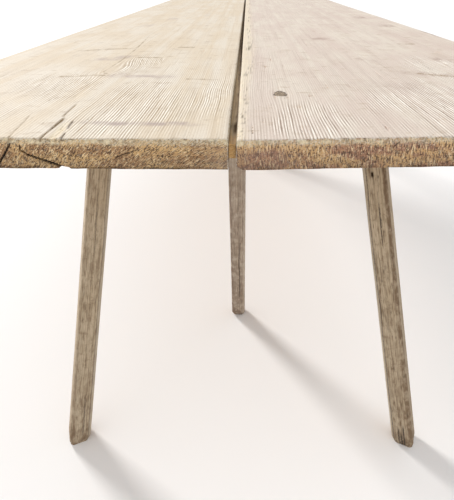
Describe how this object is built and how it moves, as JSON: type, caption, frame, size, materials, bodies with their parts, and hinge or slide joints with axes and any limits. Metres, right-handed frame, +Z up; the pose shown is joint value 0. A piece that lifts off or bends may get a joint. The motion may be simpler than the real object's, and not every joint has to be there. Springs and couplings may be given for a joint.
{
  "type": "harvest table",
  "caption": "Long plank-topped harvest table: wide boards joined by a loose tongue and dovetailed battens, laid on splayed three-legged trestles; the top lifts off.",
  "frame": {"origin": "on the floor, under the middle of the table top", "axes": "+Z up from the floor, +Y along the planks from the near end to the far end, +X across them towards the wider plank"},
  "size_m": [0.9, 2.7, 0.75],
  "materials": {
    "left_plank": "scrubbed, bleached old softwood with raised grain, bare",
    "right_plank": "scrubbed, bleached old softwood with raised grain, bare",
    "loose_tongue": "bare softwood strip, darkened by dust",
    "batten": "bare sawn softwood",
    "peg": "whittled hardwood, bare",
    "beam": "hewn old timber, bare and dry",
    "leg": "shaved hardwood poles, greyed and dry",
    "wedge": "split hardwood, bare"
  },
  "bodies": {
    "near_trestle": {"near_beam": "beam", "near_left_leg": "leg", "near_right_leg": "leg", "near_inner_leg": "leg", "near_left_leg_wedge": "wedge", "near_right_leg_wedge": "wedge", "near_inner_leg_wedge": "wedge"},
    "far_trestle": {"far_beam": "beam", "far_left_leg": "leg", "far_right_leg": "leg", "far_inner_leg": "leg", "far_left_leg_wedge": "wedge", "far_right_leg_wedge": "wedge", "far_inner_leg_wedge": "wedge"},
    "top": {"left_plank": "left_plank", "right_plank": "right_plank", "loose_tongue": "loose_tongue", "near_batten": "batten", "middle_batten": "batten", "far_batten": "batten", "near_batten_pegs": "peg", "middle_batten_pegs": "peg", "far_batten_pegs": "peg"}
  },
  "joints": [
    {"name": "top_lift", "type": "slide", "parent": "near_trestle", "child": "top", "axis": [0, 0, 1], "range_m": [0, 0.3]},
    {"name": "far_trestle_shift", "type": "slide", "parent": "near_trestle", "child": "far_trestle", "axis": [0, 1, 0], "range_m": [-0.3, 0.058]}
  ]
}
